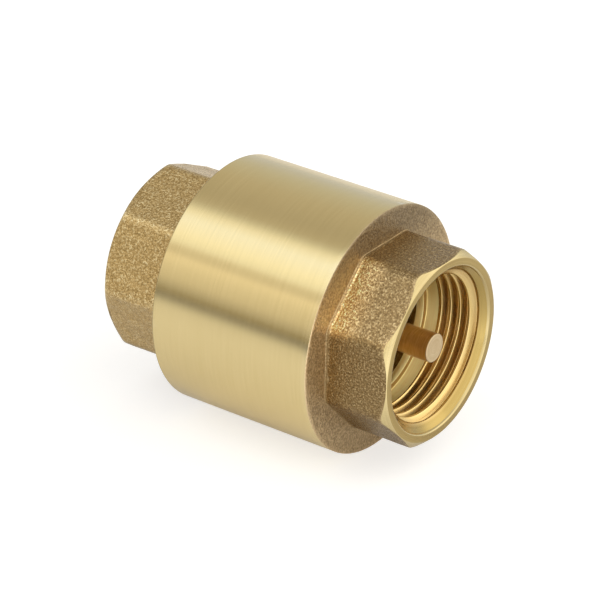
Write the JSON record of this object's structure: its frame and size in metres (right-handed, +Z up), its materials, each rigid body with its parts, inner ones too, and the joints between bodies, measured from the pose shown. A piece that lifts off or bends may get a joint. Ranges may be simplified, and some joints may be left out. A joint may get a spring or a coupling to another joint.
{
  "type": "in-line spring check valve",
  "caption": "Brass in-line spring check valve: round body, wrench octagons, female G 3/4 ports and a sprung poppet on a guided stem.",
  "frame": {"origin": "on the flow axis, half way between the two end faces", "axes": "+X along the flow axis towards the outlet; +Z up, square to an outlet wrench flat; +Y completes the frame"},
  "size_m": [0.056, 0.042, 0.042],
  "materials": {
    "body_brass": "fine turned shell, blasted cast octagon",
    "cast_brass": "blasted casting with turned end face",
    "fibre_gasket": "pressed fibre",
    "guide_brass": "as pressed, satin",
    "bush_plastic": "moulded, matte",
    "ring_steel": "satin",
    "spring_steel": "drawn wire, bright",
    "stem_brass": "drawn rod, satin",
    "poppet_brass": "turned, satin",
    "seal_rubber": "matte nitrile",
    "retainer_steel": "turned, satin",
    "washer_steel": "plain",
    "nut_brass": "machined"
  },
  "bodies": {
    "housing": {"outlet_body": "body_brass", "inlet_end": "cast_brass", "body_gasket": "fibre_gasket", "guide_spider": "guide_brass", "guide_bush": "bush_plastic", "snap_ring": "ring_steel", "spring": "spring_steel"},
    "poppet": {"poppet_stem": "stem_brass", "poppet_disc": "poppet_brass", "seal_ring": "seal_rubber", "seal_retainer": "retainer_steel", "lock_washer": "washer_steel", "retainer_nut": "nut_brass"}
  },
  "joints": [
    {"name": "poppet_lift", "type": "slide", "parent": "housing", "child": "poppet", "axis": [1, 0, 0], "range_m": [0, 0.006], "stiffness_N_per_m": 150, "springref_m": -0.0067, "deforming": ["spring"]}
  ]
}
